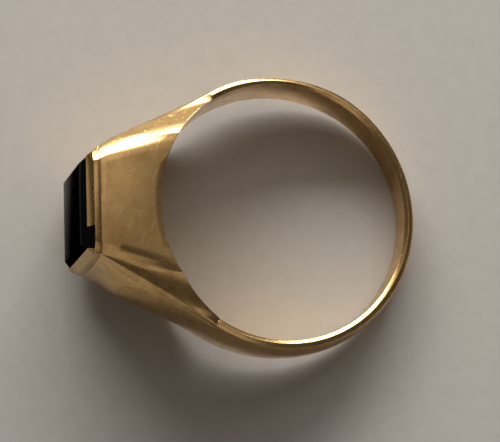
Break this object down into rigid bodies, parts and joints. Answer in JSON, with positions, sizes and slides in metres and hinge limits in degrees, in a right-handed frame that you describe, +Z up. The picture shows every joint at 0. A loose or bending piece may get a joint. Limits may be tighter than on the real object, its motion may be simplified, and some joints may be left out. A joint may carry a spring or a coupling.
{
  "type": "signet ring",
  "caption": "Gold signet ring with a bevelled rectangular black onyx in a raised bezel on a hollow faceted head, lying on its side.",
  "frame": {"origin": "on the table, under the middle of the ring's bounding box", "axes": "+Z up off the table, -Y the way the stone faces, +X across the ring; the finger axis is +Z tipped by 9.9 degrees towards +Y"},
  "size_m": [0.0208, 0.0258, 0.0099],
  "materials": {
    "shank": "polished and worn",
    "shoulder": "polished and worn",
    "cheek": "polished, with fine scratches",
    "bezel": "polished and worn",
    "seat": "as sawn",
    "stone": "high polish"
  },
  "bodies": {
    "root": {"shank_band": "shank", "shoulder_right": "shoulder", "shoulder_left": "shoulder", "cheek_upper": "cheek", "cheek_lower": "cheek", "bezel_collar": "bezel", "stone_seat": "seat", "onyx_stone": "stone"}
  },
  "joints": []
}
